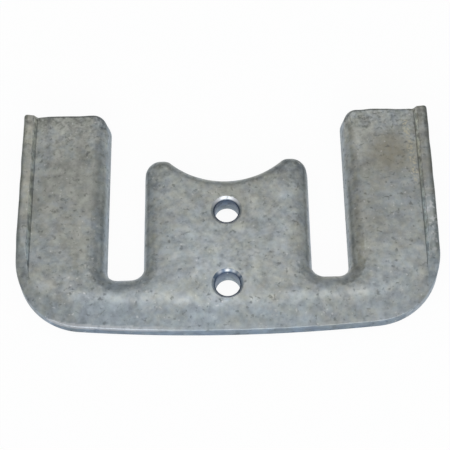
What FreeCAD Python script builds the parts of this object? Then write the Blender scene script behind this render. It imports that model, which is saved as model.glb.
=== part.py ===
import FreeCAD, Part
import math
import os
import Sketcher
from FreeCAD import Vector

# Sacrificial anode: one plate casting with two arms, a notched tongue and two open slots
#
# Frame: the origin is midway between the two bolt holes on the flat back face.
# +X runs across the arms, +Y towards their free ends and +Z out of the rounded face.

# Driving sizes in millimetres and degrees
SIZES = (
    ("plate_width", 135.6, "across the outer sides, at the back face"),
    ("arm_reach", 50.2, "from the origin to the free ends of the arms"),
    ("bottom_reach", 27.3, "from the origin to the lowest point of the bowed edge"),
    ("plate_thickness", 8.0, "from the back face to the rounded face"),
    ("bow_radius", 560.0, "radius of the bowed bottom edge"),
    ("corner_radius", 22.4, "radius of the two bottom corners in plan"),
    ("side_draft", 3.0, "lean of the outer walls, for drawing the casting"),
    ("lip_width", 4.8, "from the outer side to the foot of the raised lip"),
    ("lip_height", 2.4, "height of the lip above the face"),
    ("lip_lean", 20.0, "lean of the lip's inner wall"),
    ("edge_thickness", 4.0, "thickness left at the bottom edge by the fairing"),
    ("fairing_angle", 23.5, "slope of the fairing below the face"),
    ("fairing_corner_radius", 39.4, "corner radius of the fairing at the edge thickness"),
    ("fairing_flare", 15.0, "how far the fairing's sides turn away past its corners"),
    ("slot_width", 11.7, "width of each open slot at the back face"),
    ("slot_spacing", 66.0, "between the centre lines of the slots"),
    ("slot_floor", 9.05, "from the origin down to the floor of the slots"),
    ("slot_corner_radius", 3.7, "radius of the slot floor's corners"),
    ("arm_corner_radius", 5.6, "radius of the arm's inner corner in plan"),
    ("horn_reach", 32.7, "from the origin to the tops of the tongue's horns"),
    ("horn_corner_radius", 5.2, "radius of the horn's outer corner in plan"),
    ("horn_tip_radius", 4.4, "radius of the horn where it turns into the notch"),
    ("horn_flat", 1.3, "straight stretch across the top of each horn"),
    ("notch_floor", 24.9, "from the origin to the lowest point of the notch"),
    ("opening_draft", 8.0, "lean of the walls of slots, notch and arm ends"),
    ("slot_rounding", 5.2, "edge rounding along the slots"),
    ("arm_rounding", 3.4, "edge rounding where the slot meets the arm's corner"),
    ("arm_end_rounding", 1.2, "edge rounding across the arm's free end"),
    ("horn_rounding", 4.3, "edge rounding where the horn's corner begins"),
    ("notch_rounding", 3.2, "edge rounding over the horns and along the notch"),
    ("crest_rounding", 8.0, "rounding between the face and the fairing"),
    ("rim_rounding", 0.8, "edge rounding round the outside and along the lips"),
    ("hole_spacing", 25.4, "between the two bolt holes"),
    ("hole_diameter", 7.9, "clearance bore for the bolts"),
    ("hole_chamfer", 1.0, "chamfer at the mouth of each bore"),
)

# How far the cutting shapes run past what they cut
OVERCUT = 3.0

# Where a rounding is limited by its wall: its largest share of the room
CREST_SHARE = 0.35
EDGE_SHARE = 0.95

# How closely an edge's height and the lean of its faces have to match
NEAR = 0.1
SAME_LEAN = 0.5

# Lean of a face that lies level, and the full angle of a countersink with 45 degree sides
LEVEL = 90
COUNTERSINK = 90

doc = FreeCAD.newDocument("sacrificial_anode")
sheet = doc.addObject("Spreadsheet::Sheet", "sizes")
for row, (name, value, note) in enumerate(SIZES, start=1):
    sheet.set(f"A{row}", name)
    sheet.set(f"B{row}", str(value))
    sheet.set(f"C{row}", note)
    sheet.setAlias(f"B{row}", name)
doc.recompute()


def size(name):
    """The value of one driving size."""
    return float(getattr(sheet, name))


def slope(name):
    """How far a surface leans sideways for each millimetre of height."""
    return math.tan(math.radians(size(name)))


body = doc.addObject("PartDesign::Body", "casting")
body.Label = "casting"


# Sketch helpers
def sketch_on(name, role, height=None):
    """An empty sketch on one of the body's origin planes, raised by an expression."""
    sketch = body.newObject("Sketcher::SketchObject", name)
    plane = next(p for p in body.Origin.OriginFeatures if p.Role == role)
    sketch.AttachmentSupport = (plane, [""])
    sketch.MapMode = "FlatFace"
    if height is not None:
        sketch.setExpression("AttachmentOffset.Base.z", height)
    return sketch


def line(x1, y1, x2, y2):
    """A straight curve of an outline."""
    return Part.LineSegment(Vector(x1, y1, 0), Vector(x2, y2, 0)), True


def arc(x, y, radius, start, end):
    """A round curve about (x, y), between two angles in degrees, either way round."""
    circle = Part.Circle(Vector(x, y, 0), Vector(0, 0, 1), radius)
    low, high = sorted((math.radians(start), math.radians(end)))
    return Part.ArcOfCircle(circle, low, high), end > start


def constrain(sketch, kind, *where):
    """Adds a geometric constraint."""
    sketch.addConstraint(Sketcher.Constraint(kind, *where))


def draw(sketch, curves, corners=()):
    """Adds a closed outline, tangent at each joint but the corners, and returns its ids."""
    ids = sketch.addGeometry([curve for curve, forward in curves], False)
    for place, (curve, forward) in enumerate(curves):
        following = (place + 1) % len(curves)
        leaves = 2 if forward else 1
        enters = 1 if curves[following][1] else 2
        kind = "Coincident" if place in corners else "Tangent"
        constrain(sketch, kind, ids[place], leaves, ids[following], enters)
    return ids


def bind(sketch, expression, kind, *where):
    """Adds a driving dimension whose value comes from the sheet."""
    value = float(sketch.evalExpression(expression))
    index = sketch.addConstraint(Sketcher.Constraint(kind, *where, value))
    sketch.setExpression(f"Constraints[{index}]", expression)


# Edges, chosen by how much the two faces at each lean
def lean(face, point):
    """The angle between a face's normal and the level plane, in degrees."""
    u, v = face.Surface.parameter(point)
    return math.degrees(math.asin(max(-1.0, min(1.0, face.normalAt(u, v).z))))


def edges_between(shape, first, second, lowest, highest=math.inf):
    """Numbers of the edges between faces of two leans, within a range of heights."""
    found = []
    for number, edge in enumerate(shape.Edges, start=1):
        middle = edge.valueAt((edge.FirstParameter + edge.LastParameter) / 2)
        faces = shape.ancestorsOfType(edge, Part.Face)
        if len(faces) != 2 or not lowest < middle.z < highest:
            continue
        leans = sorted(lean(face, middle) for face in faces)
        wanted = sorted((first, second))
        if all(abs(have - want) < SAME_LEAN for have, want in zip(leans, wanted)):
            found.append(number)
    return found


# Outline with a bowed bottom edge, shared by the plate and the fairing
def bowed_outline(sketch, corner_x, corner_size, top, flare_size=None):
    """An arc for the bottom, a round corner at each end and sides that may flare out."""
    corner = size(corner_size)
    bow = size("bow_radius")
    bow_centre = bow - size("bottom_reach")
    x = float(sketch.evalExpression(corner_x))
    y = bow_centre - math.sqrt((bow - corner) ** 2 - x**2)
    top_y = float(sketch.evalExpression(top))
    flare = math.radians(size(flare_size)) if flare_size else 0.0
    side_x = x + corner * math.cos(flare)
    side_y = y - corner * math.sin(flare)
    top_x = side_x + (top_y - side_y) * math.tan(flare)
    turn = math.degrees(math.atan2(y - bow_centre, x))
    end = -math.degrees(flare)
    curves = [
        line(side_x, side_y, top_x, top_y),
        line(top_x, top_y, -top_x, top_y),
        line(-top_x, top_y, -side_x, side_y),
        arc(-x, y, corner, 180 - end, 180 - turn),
        arc(0, bow_centre, bow, 180 - turn, 360 + turn),
        arc(x, y, corner, turn, end),
    ]
    right, lid, left, left_corner, bottom, right_corner = draw(sketch, curves, corners=(0, 1))
    if flare_size:
        bind(sketch, f"90 deg - sizes.{flare_size} * 1 deg", "Angle", right)
    else:
        constrain(sketch, "Vertical", right)
    constrain(sketch, "Symmetric", lid, 1, lid, 2, -2)
    constrain(sketch, "Symmetric", right, 1, left, 2, -2)
    constrain(sketch, "PointOnObject", bottom, 3, -2)
    bind(sketch, corner_x, "DistanceX", -1, 1, right_corner, 3)
    bind(sketch, top, "DistanceY", -1, 1, right, 2)
    bind(sketch, "sizes.bow_radius", "Radius", bottom)
    bind(sketch, f"sizes.{corner_size}", "Radius", right_corner)
    bind(sketch, "sizes.bow_radius - sizes.bottom_reach", "DistanceY", -1, 1, bottom, 3)


# Blank: the whole outline at full height, drawn in towards the face
def add_blank():
    sketch = sketch_on("plate_outline", "XY_Plane")
    bowed_outline(sketch, "sizes.plate_width / 2 - sizes.corner_radius", "corner_radius",
                  f"sizes.arm_reach + {OVERCUT}")
    blank = body.newObject("PartDesign::Pad", "blank")
    blank.Profile = sketch
    blank.setExpression("Length", "sizes.plate_thickness + sizes.lip_height")
    blank.setExpression("TaperAngle", "-sizes.side_draft")


# Face: everything above the plate's thickness goes, apart from the two lips
def add_face():
    foot = size("plate_width") / 2 - size("lip_width")
    low = size("plate_thickness")
    rise = size("lip_height") + OVERCUT
    crown = foot + rise * slope("lip_lean")
    sketch = sketch_on("face_between_lips", "XZ_Plane")
    floor, right, lid, left = draw(sketch, [
        line(-foot, low, foot, low),
        line(foot, low, crown, low + rise),
        line(crown, low + rise, -crown, low + rise),
        line(-crown, low + rise, -foot, low),
    ], corners=range(4))
    constrain(sketch, "Symmetric", floor, 1, floor, 2, -2)
    constrain(sketch, "Symmetric", lid, 1, lid, 2, -2)
    overcut = f"(sizes.lip_height + {OVERCUT})"
    bind(sketch, "sizes.plate_width / 2 - sizes.lip_width", "DistanceX", -1, 1, floor, 2)
    bind(sketch, "sizes.plate_thickness", "DistanceY", -1, 1, floor, 2)
    bind(sketch, overcut, "DistanceY", right, 1, right, 2)
    bind(sketch, f"{overcut} * tan(sizes.lip_lean * 1 deg)", "DistanceX", right, 1, right, 2)
    face = body.newObject("PartDesign::Pocket", "face")
    face.Profile = sketch
    face.Type = "ThroughAll"
    face.Midplane = True


# Fairing: a slope along the bottom that wraps the corners, runs out the lips and fades
FAIRING_CORNER_X = (
    "(sizes.plate_width / 2 - sizes.corner_radius)"
    " * (sizes.bow_radius - sizes.fairing_corner_radius)"
    " / (sizes.bow_radius - sizes.corner_radius)")


def add_fairing():
    """The slope's foot leaves the plate's outline where the plate's corners begin."""
    sketch = sketch_on("fairing_outline", "XY_Plane", "sizes.edge_thickness")
    rise = size("plate_thickness") + size("lip_height") - size("edge_thickness") + OVERCUT
    run = rise / slope("fairing_angle")
    clear = size("arm_reach") + run + OVERCUT
    bowed_outline(sketch, FAIRING_CORNER_X, "fairing_corner_radius", f"{clear}", "fairing_flare")
    half = size("plate_width") / 2 + clear
    frame = clear + half + run
    bottom, right, lid, left = draw(sketch, [
        line(-frame, -frame, frame, -frame),
        line(frame, -frame, frame, frame),
        line(frame, frame, -frame, frame),
        line(-frame, frame, -frame, -frame),
    ], corners=range(4))
    constrain(sketch, "Vertical", right)
    constrain(sketch, "Vertical", left)
    constrain(sketch, "Horizontal", bottom)
    constrain(sketch, "Horizontal", lid)
    constrain(sketch, "Symmetric", bottom, 1, lid, 1, -1, 1)
    bind(sketch, f"{frame}", "DistanceX", -1, 1, right, 2)
    bind(sketch, f"{frame}", "DistanceY", -1, 1, right, 2)
    fairing = body.newObject("PartDesign::Pocket", "fairing")
    fairing.Profile = sketch
    fairing.Type = "Length"
    fairing.setExpression(
        "Length", f"sizes.plate_thickness + sizes.lip_height - sizes.edge_thickness + {OVERCUT}")
    fairing.setExpression("TaperAngle", "sizes.fairing_angle - 90")
    fairing.Reversed = True


def crest_gap():
    """Plan distance at the face from the slot floor to the crest of the fairing."""
    height = size("plate_thickness")
    setback = (height - size("edge_thickness")) / slope("fairing_angle")
    bow = size("bow_radius")
    bow_centre = bow - size("bottom_reach")
    corner = size("fairing_corner_radius")
    corner_x = float(body.evalExpression(FAIRING_CORNER_X))
    corner_y = bow_centre - math.sqrt((bow - corner) ** 2 - corner_x**2)
    p = OpeningPlan(height)
    slot_corner = p.outer - p.slot_r, p.low
    gap = bow - setback - math.dist(slot_corner, (0, bow_centre)) - p.slot_r
    if slot_corner[0] > corner_x:
        gap = corner - setback - math.dist(slot_corner, (corner_x, corner_y)) - p.slot_r
    return gap


def crest_radius():
    """The crest's rounding, kept within its share of the face below the slots."""
    half_turn = math.tan(math.radians(size("fairing_angle") / 2))
    return min(size("crest_rounding"), CREST_SHARE * crest_gap() / half_turn)


def add_crest():
    """Blends the face into the fairing."""
    fairing = body.Tip
    top = size("plate_thickness")
    slope_lean = LEVEL - size("fairing_angle")
    edges = edges_between(fairing.Shape, LEVEL, slope_lean, top - NEAR, top + NEAR)
    crest = body.newObject("PartDesign::Fillet", "crest")
    crest.Base = (fairing, [f"Edge{number}" for number in edges])
    crest.setExpression("Radius", f"min(sizes.crest_rounding; {crest_radius()})")


def add_rims():
    """Breaks the outer edge of the fairing and the edges on top of the lips."""
    crest = body.Tip
    low = size("edge_thickness") / 2
    top = size("plate_thickness") + size("lip_height") - NEAR
    edges = edges_between(crest.Shape, size("side_draft"), LEVEL - size("fairing_angle"), low)
    edges += edges_between(crest.Shape, size("side_draft"), LEVEL, top)
    edges += edges_between(crest.Shape, size("lip_lean"), LEVEL, top)
    kept = [n for n in edges if crest.Shape.Edges[n - 1].CenterOfMass.y < size("arm_reach")]
    rims = body.newObject("PartDesign::Fillet", "rims")
    rims.Base = (crest, [f"Edge{number}" for number in kept])
    rims.setExpression("Radius", "sizes.rim_rounding")


# Openings: both slots, the gap above the tongue and the notch, in one drafted cut
NOTCH_CENTRE = (
    "((sizes.horn_reach - sizes.horn_tip_radius) ^ 2"
    " + ((sizes.slot_spacing - sizes.slot_width) / 2"
    " - sizes.horn_corner_radius - sizes.horn_flat) ^ 2"
    " - (sizes.notch_floor - sizes.horn_tip_radius) ^ 2)"
    " / (2 * (sizes.horn_reach - sizes.notch_floor))")


def notch_centre():
    """Height of the notch's centre: its arc meets both horn tips and the notch's floor."""
    return float(body.evalExpression(NOTCH_CENTRE))


class OpeningPlan:
    """Lines, corner radii and joints of the opening's right half, at one height."""

    def __init__(self, height=0.0):
        shift = height * slope("opening_draft")
        self.inner = (size("slot_spacing") - size("slot_width")) / 2 - shift
        self.outer = (size("slot_spacing") + size("slot_width")) / 2 + shift
        self.end = size("arm_reach") - shift
        self.floor = -size("slot_floor") - shift
        self.horn = size("horn_reach") - shift
        self.arm_r = size("arm_corner_radius") - shift
        self.slot_r = size("slot_corner_radius") + shift
        self.horn_r = size("horn_corner_radius") - shift
        self.tip_r = size("horn_tip_radius") - shift
        self.low = self.floor + self.slot_r
        self.tip_x = self.inner - self.horn_r - size("horn_flat")
        self.tip_y = self.horn - self.tip_r
        self.notch_y = notch_centre()
        self.notch_r = self.notch_y - size("notch_floor") + shift
        self.turn = math.degrees(math.atan2(self.notch_y - self.tip_y, -self.tip_x))

    def stations(self):
        """The joints along the edge, each with the edge rounding there."""
        reach = math.tan(math.radians(45 - size("opening_draft") / 2))
        half_turn = math.tan(math.radians(size("fairing_angle") / 2))
        room = crest_gap() - crest_radius() * half_turn
        along_slot = min(size("slot_rounding"), EDGE_SHARE * room / reach)
        at_arm = min(size("arm_rounding"), along_slot, EDGE_SHARE * self.arm_r / reach)
        at_horn = min(size("horn_rounding"), along_slot, EDGE_SHARE * self.horn_r / reach)
        at_notch = min(size("notch_rounding"), at_horn, EDGE_SHARE * self.tip_r / reach)
        at_end = min(size("arm_end_rounding"), at_arm)
        tip = math.radians(self.turn)
        lean_in = (self.tip_x + self.tip_r * math.cos(tip), self.tip_y + self.tip_r * math.sin(tip))
        return (
            ((size("plate_width") / 2, self.end), at_end),
            ((self.outer + self.arm_r, self.end), at_end),
            ((self.outer, self.end - self.arm_r), at_arm),
            ((self.outer, self.low), along_slot),
            ((self.outer - self.slot_r, self.floor), along_slot),
            ((self.inner + self.slot_r, self.floor), along_slot),
            ((self.inner, self.low), along_slot),
            ((self.inner, self.horn - self.horn_r), at_horn),
            ((self.inner - self.horn_r, self.horn), at_notch),
            ((self.tip_x, self.horn), at_notch),
            (lean_in, at_notch),
        )


def add_openings():
    p = OpeningPlan()
    far = size("plate_width") / 2 + OVERCUT
    lid_y = p.end + 2 * OVERCUT
    curves = [
        line(far, lid_y, far, p.end),
        line(far, p.end, p.outer + p.arm_r, p.end),
        arc(p.outer + p.arm_r, p.end - p.arm_r, p.arm_r, 90, 180),
        line(p.outer, p.end - p.arm_r, p.outer, p.low),
        arc(p.outer - p.slot_r, p.low, p.slot_r, 360, 270),
        line(p.outer - p.slot_r, p.floor, p.inner + p.slot_r, p.floor),
        arc(p.inner + p.slot_r, p.low, p.slot_r, 270, 180),
        line(p.inner, p.low, p.inner, p.horn - p.horn_r),
        arc(p.inner - p.horn_r, p.horn - p.horn_r, p.horn_r, 0, 90),
        line(p.inner - p.horn_r, p.horn, p.tip_x, p.horn),
        arc(p.tip_x, p.tip_y, p.tip_r, 90, p.turn),
        arc(0, p.notch_y, p.notch_r, 180 + p.turn, 360 - p.turn),
        arc(-p.tip_x, p.tip_y, p.tip_r, 180 - p.turn, 90),
        line(-p.tip_x, p.horn, p.horn_r - p.inner, p.horn),
        arc(p.horn_r - p.inner, p.horn - p.horn_r, p.horn_r, 90, 180),
        line(-p.inner, p.horn - p.horn_r, -p.inner, p.low),
        arc(-p.inner - p.slot_r, p.low, p.slot_r, 360, 270),
        line(-p.inner - p.slot_r, p.floor, p.slot_r - p.outer, p.floor),
        arc(p.slot_r - p.outer, p.low, p.slot_r, 270, 180),
        line(-p.outer, p.low, -p.outer, p.end - p.arm_r),
        arc(-p.outer - p.arm_r, p.end - p.arm_r, p.arm_r, 0, 90),
        line(-p.outer - p.arm_r, p.end, -far, p.end),
        line(-far, p.end, -far, lid_y),
        line(-far, lid_y, far, lid_y),
    ]
    sketch = sketch_on("openings_outline", "XY_Plane")
    (right_end, right_arm, right_corner, right_outer, slot_corner, right_floor, slot_corner_2,
     right_inner, right_horn_corner, right_horn, right_tip, notch, left_tip, left_horn,
     left_horn_corner, left_inner, slot_corner_3, left_floor, slot_corner_4, left_outer,
     left_corner, left_arm, left_end, lid) = draw(sketch, curves, corners=(0, 21, 22, 23))
    for upright in (right_end, right_outer, right_inner, left_inner, left_outer, left_end):
        constrain(sketch, "Vertical", upright)
    for level in (right_arm, right_floor, right_horn, left_horn, left_floor, left_arm):
        constrain(sketch, "Horizontal", level)
    constrain(sketch, "Symmetric", lid, 1, lid, 2, -2)
    constrain(sketch, "Symmetric", right_arm, 2, left_arm, 1, -2)
    constrain(sketch, "Symmetric", right_floor, 2, left_floor, 1, -2)
    constrain(sketch, "Horizontal", right_horn, 1, left_horn, 2)
    constrain(sketch, "Equal", right_corner, left_corner)
    constrain(sketch, "Equal", right_horn_corner, left_horn_corner)
    constrain(sketch, "Equal", right_tip, left_tip)
    for other in (slot_corner_2, slot_corner_3, slot_corner_4):
        constrain(sketch, "Equal", slot_corner, other)
    bind(sketch, "sizes.arm_corner_radius", "Radius", right_corner)
    bind(sketch, "sizes.slot_corner_radius", "Radius", slot_corner)
    bind(sketch, "sizes.horn_corner_radius", "Radius", right_horn_corner)
    bind(sketch, "sizes.horn_tip_radius", "Radius", right_tip)
    constrain(sketch, "Equal", right_horn, left_horn)
    bind(sketch, "sizes.horn_flat", "DistanceX", right_horn, 2, right_horn, 1)
    half_gap = "(sizes.slot_spacing - sizes.slot_width) / 2"
    bind(sketch, half_gap, "DistanceX", -1, 1, right_inner, 1)
    bind(sketch, "sizes.slot_width", "DistanceX", right_inner, 1, right_outer, 2)
    bind(sketch, "sizes.slot_floor", "DistanceY", right_floor, 2, -1, 1)
    bind(sketch, "sizes.horn_reach", "DistanceY", -1, 1, right_horn, 1)
    bind(sketch, "sizes.arm_reach", "DistanceY", -1, 1, right_arm, 2)
    bind(sketch, NOTCH_CENTRE, "DistanceY", -1, 1, notch, 3)
    bind(sketch, f"sizes.plate_width / 2 + {OVERCUT}", "DistanceX", -1, 1, lid, 2)
    bind(sketch, f"sizes.arm_reach + 2 * {OVERCUT}", "DistanceY", -1, 1, lid, 2)
    openings = body.newObject("PartDesign::Pocket", "openings")
    openings.Profile = sketch
    openings.Type = "Length"
    openings.setExpression("Length", f"sizes.plate_thickness + sizes.lip_height + {OVERCUT}")
    openings.setExpression("TaperAngle", "sizes.opening_draft")
    openings.Reversed = True


# Bolt holes with a chamfer at the face
def add_bolt_holes():
    sketch = sketch_on("bolt_circles", "XY_Plane", "sizes.plate_thickness")
    reach = size("hole_spacing") / 2
    radius = size("hole_diameter") / 2
    circles = [Part.Circle(Vector(0, y, 0), Vector(0, 0, 1), radius) for y in (reach, -reach)]
    upper, lower = sketch.addGeometry(circles, False)
    constrain(sketch, "Equal", upper, lower)
    constrain(sketch, "Symmetric", upper, 3, lower, 3, -1, 1)
    constrain(sketch, "PointOnObject", upper, 3, -2)
    bind(sketch, "sizes.hole_spacing", "DistanceY", lower, 3, upper, 3)
    bind(sketch, "sizes.hole_diameter / 2", "Radius", upper)
    doc.recompute()
    holes = body.newObject("PartDesign::Hole", "bolt_holes")
    holes.Profile = sketch
    holes.ThreadType = "None"
    holes.setExpression("Diameter", "sizes.hole_diameter")
    holes.DepthType = "ThroughAll"
    holes.HoleCutType = "Countersink"
    holes.HoleCutCountersinkAngle = COUNTERSINK
    holes.setExpression("HoleCutDiameter", "sizes.hole_diameter + 2 * sizes.hole_chamfer")


# Edge rounding along the slots, over the horns and the notch and at the arm ends
def round_openings(base):
    """A fillet whose edges carry a radius at each of their two ends."""
    top = size("plate_thickness")
    stations = OpeningPlan(top).stations()

    def rounding_at(point):
        nearest = min(stations, key=lambda s: math.dist(s[0], (abs(point.x), point.y)))
        return nearest[1]

    edges = []
    walls = edges_between(base.Shape, LEVEL, size("opening_draft"), top - NEAR, top + NEAR)
    for number in walls:
        ends = base.Shape.Edges[number - 1].Vertexes
        edges.append((number, rounding_at(ends[0].Point), rounding_at(ends[-1].Point)))
    rounding = doc.addObject("Part::Fillet", "anode_plate")
    rounding.Base = base
    rounding.Edges = edges
    return rounding


for step in (add_blank, add_face, add_fairing, add_crest, add_rims, add_openings, add_bolt_holes):
    step()
    doc.recompute()
casting = round_openings(body)
casting.Label = "anode_plate"
casting.Placement = FreeCAD.Placement()
doc.recompute()

for item in doc.Objects:
    if "Invalid" in item.State or "Error" in item.State:
        raise RuntimeError(f"{item.Label} is {item.State}")
if casting.Shape.isNull() or not casting.Shape.isValid() or len(casting.Shape.Solids) != 1:
    raise RuntimeError("the casting isn't one valid solid")
os.makedirs("parts", exist_ok=True)
casting.Shape.exportStep("parts/anode_plate.step")
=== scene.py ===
import math

import bpy
import numpy as np
from bpy.props import FloatProperty, FloatVectorProperty, IntProperty, PointerProperty
from mathutils import Matrix, Vector
from mathutils.geometry import delaunay_2d_cdt


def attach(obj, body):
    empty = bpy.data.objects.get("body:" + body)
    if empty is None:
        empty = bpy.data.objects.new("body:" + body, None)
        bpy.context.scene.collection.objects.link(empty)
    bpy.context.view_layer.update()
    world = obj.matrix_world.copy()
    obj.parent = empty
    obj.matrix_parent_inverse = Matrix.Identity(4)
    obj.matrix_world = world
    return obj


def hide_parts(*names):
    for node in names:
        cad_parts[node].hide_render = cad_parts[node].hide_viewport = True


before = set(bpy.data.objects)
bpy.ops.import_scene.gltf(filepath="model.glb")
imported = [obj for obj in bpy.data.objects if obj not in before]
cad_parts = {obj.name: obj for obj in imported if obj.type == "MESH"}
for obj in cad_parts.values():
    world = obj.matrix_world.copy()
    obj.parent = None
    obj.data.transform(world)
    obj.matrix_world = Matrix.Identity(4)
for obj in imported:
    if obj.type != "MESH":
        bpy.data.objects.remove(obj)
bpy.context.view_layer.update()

bl_info = {
    "name": "Sacrificial anode",
    "version": (1, 0, 0),
    "blender": (4, 5, 0),
    "location": "View3D > Sidebar > Anode",
    "description": "A cast plate anode with its metal finish and a pale studio",
    "category": "Add Mesh",
}

MM = 0.001

# Plan of the casting at its back face, in millimetres
HALF_WIDTH, ARM_REACH, BOTTOM_REACH = 67.8, 50.2, 27.3
BOW_RADIUS, CORNER_RADIUS, TIP_RADIUS = 560.0, 22.4, 1.2
SLOT_INNER, SLOT_OUTER, SLOT_FLOOR, SLOT_CORNER = 27.15, 38.85, -9.05, 3.7
ARM_CORNER = 5.6
HORN_REACH, HORN_CORNER, HORN_TIP, HORN_FLAT, NOTCH_FLOOR = 32.7, 5.2, 4.4, 1.3, 24.9
BORE_RADIUS, BORE_CHAMFER, BORE_Y = 3.95, 1.0, 12.7

# Heights, leans and edge roundings
FACE, LIP_RISE, LIP_FOOT, LIP_LEAN = 8.0, 2.4, 63.0, math.tan(math.radians(20))
SLOPE_START, SLOPE_RISE = 4.0, math.tan(math.radians(23.5))
SLOPE_CORNER, SLOPE_FLARE = 39.4, math.radians(15)
SIDE_DRAFT, OPENING_DRAFT = math.tan(math.radians(3)), math.tan(math.radians(8))
RIM, ARM_END_EDGE, CORNER_EDGE, ARM_EDGE = 0.8, 1.2, 3.0, 4.4
SLOT_EDGE, HORN_EDGE, NOTCH_EDGE = 5.2, 4.3, 3.2
BACK_EDGE = 0.3
CREST_BLEND, LIP_BLEND, LIP_CROWN = 1.15, 0.3, 0.45
ARM_TAPER, CORNER_GROWTH = 6.0, 4.0

# Crown of the front, by place across
CROWN_PLACES = (17.0, 22.0, 31.0, 35.0)
CROWN_DROPS, CROWN_REACHES = (0.06, 0.3, 0.3, 0.5), (3.4, 3.8, 3.8, 5.2)
CROWN_ONSET, BRIM_EDGE = 2.0, 2.2

# Spacing of the mesh
PATH_STEP, GRID_STEP, GRID_MARGIN, BORE_STEPS = 0.42, 0.42, 0.3, 72
ROUND_STEPS, WALL_STEPS, BACK_ANGLES = 13, 12, (90.0, 60.0, 30.0)
BORE_LEVELS = (6.2, 5.0, 3.8, 2.6, 1.4, 0.3)
PROBE_NEAR, PROBE_FAR = 0.1, 0.6
CHUNK = 4000

# Grid lines beside the foot of the lips' inner walls
LIP_LINES = (-0.4, -0.2, -0.07, 0.0, 0.08, 0.2, 0.34, 0.48, 0.62, 0.76, 0.92, 1.1, 1.35, 1.7)

# Painted highlights on the lower chamfer: angle and width in degrees, and how bright
CHAMFER_SPOTS = ((90, 8, 1.0), (122, 9, 0.5), (63, 9, 0.45), (39, 7, 0.4))
# Depth of the chamfers, the fade and edge margin of their painted highlights, and the painted light on their
# near sides
CHAMFER_DEPTH, CHAMFER_FADE, CHAMFER_EDGE, NEAR_SIDE = 1.1, 0.4, 0.06, 0.9

# Worn rim below the slope, bare metal that also carries a painted highlight along the edge: its end up the
# plate, its reach in and down, and how bare it is
RIM_TOP, RIM_REACH, RIM_DEPTH = -5.0, 1.3, 0.9
RIM_PLACES, RIM_SHARES = (-30.0, -12.0), (0.4, 0.05)

# Painted shade in the bores, which grows with height, and on the chamfers outside their painted highlights
BORE_LEAST, SHADE_FOOT, SHADE_LENGTH, SHADE_POWER, LOWER_BORE = 0.25, 0.5, 6.5, 1.6, 0.76
BORE_SPARE, BORE_TOP = 0.35, 0.7
CHAMFER_SHADES, LOWER_FAR_SHADE, FAR_SIDE = (0.5, 0.12), 0.72, 0.4

# Outer walls, which get painted shade, and how the slope's share, which also darkens the slope as painted
# shade, fades out over the crest
OUTER_REACH, OUTER_SIDE = 0.9, 1.4
SLOPE_STOP, SLOPE_FADE = 1.0, 1.6

# Relief: the lattice, lengths of the waves, and the pits as the size of a cell, a bowl's radius
# and the share of the cells that hold one
LATTICE, TABLE = 32, (32, 32, 32)
SAG_LENGTHS, RIPPLE_LENGTH, SKIN_LENGTHS = (19.0, 9.0), 4.5, (1.7, 0.95)
SECOND_SAG, SECOND_SKIN = 0.5, 0.6
LARGE_PITS, SMALL_PITS = (4.4, 1.0, 0.32), (2.4, 0.7, 0.35)
UPPER_PART, ARM_ENDS, LIP_SIDES = (5.0, 40.0), (ARM_REACH - 2.5, 1.5), (LIP_FOOT - 0.8, 1.5)
RIPPLE_LEAST, RIPPLE_UPPER, RIPPLE_ENDS, RIPPLE_LIPS = 0.6, 0.8, 6.5, 1.2
SMOOTH_BACK, BARE_SMOOTHING = 0.5, 0.8


def soft_least(first, second, blend):
    """The lesser of two heights, joined by a parabola where they differ by under blend."""
    gap = np.clip((second - first) / blend, -1.0, 1.0)
    return np.minimum(first, second) - blend * (1 - np.abs(gap)) ** 2 / 4


def rise(values, start, length):
    """0 up to a start, then evenly up to 1 over a length, and 1 beyond."""
    return np.clip((values - start) / length, 0.0, 1.0)


def corner_centre(corner):
    """Centre of a corner arc that runs on from the bow: its place across, then along.

    It lies on the line from the bow's centre to the plate's own corner centre, as far out as
    the bow's radius less its own.
    """
    plate_x = HALF_WIDTH - CORNER_RADIUS
    x = plate_x * (BOW_RADIUS - corner) / (BOW_RADIUS - CORNER_RADIUS)
    return x, BOW_RADIUS - BOTTOM_REACH - math.sqrt((BOW_RADIUS - corner) ** 2 - x * x)


def slope_reach(x, y):
    """Distance inwards from the slope's foot: bow, then corner arc, then a flared side."""
    x = np.abs(x)
    centre_y = BOW_RADIUS - BOTTOM_REACH
    corner_x, corner_y = corner_centre(SLOPE_CORNER)
    bow = BOW_RADIUS - np.hypot(x, y - centre_y)
    corner = SLOPE_CORNER - np.hypot(x - corner_x, y - corner_y)
    side = SLOPE_CORNER - ((x - corner_x) * math.cos(SLOPE_FLARE) - (y - corner_y) * math.sin(SLOPE_FLARE))
    turn = np.arctan2(y - corner_y, x - corner_x)
    on_bow = (y < centre_y) & (x * (centre_y - corner_y) < corner_x * (centre_y - y))
    return np.where(on_bow, bow, np.where(turn < -SLOPE_FLARE, corner, side))


def face_height(x, y):
    """Height of the front: flat face, lips that rise at the sides, and the slope below both."""
    wall = np.clip((np.abs(x) - LIP_FOOT) / LIP_LEAN, 0.0, None)
    lip = FACE + soft_least(wall, np.full_like(wall, LIP_RISE), LIP_CROWN)
    slope = SLOPE_START + SLOPE_RISE * slope_reach(x, y)
    blend = np.where(wall > 0.0, LIP_BLEND, CREST_BLEND)
    return soft_least(lip, slope, blend)


def straight(start, end, draft, roundings):
    """Points along a line, its outward normals, and how the wall leans along each axis."""
    (x0, y0), (x1, y1) = start, end
    length = math.hypot(x1 - x0, y1 - y0)
    share = np.linspace(0.0, 1.0, max(2, round(length / PATH_STEP)) + 1)
    normal = np.array([(y1 - y0) / length, (x0 - x1) / length])
    points = np.column_stack((x0 + (x1 - x0) * share, y0 + (y1 - y0) * share))
    normals = np.tile(normal, (len(share), 1))
    return points, normals, normals * draft, np.interp(share, (0, 1), roundings)


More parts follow.
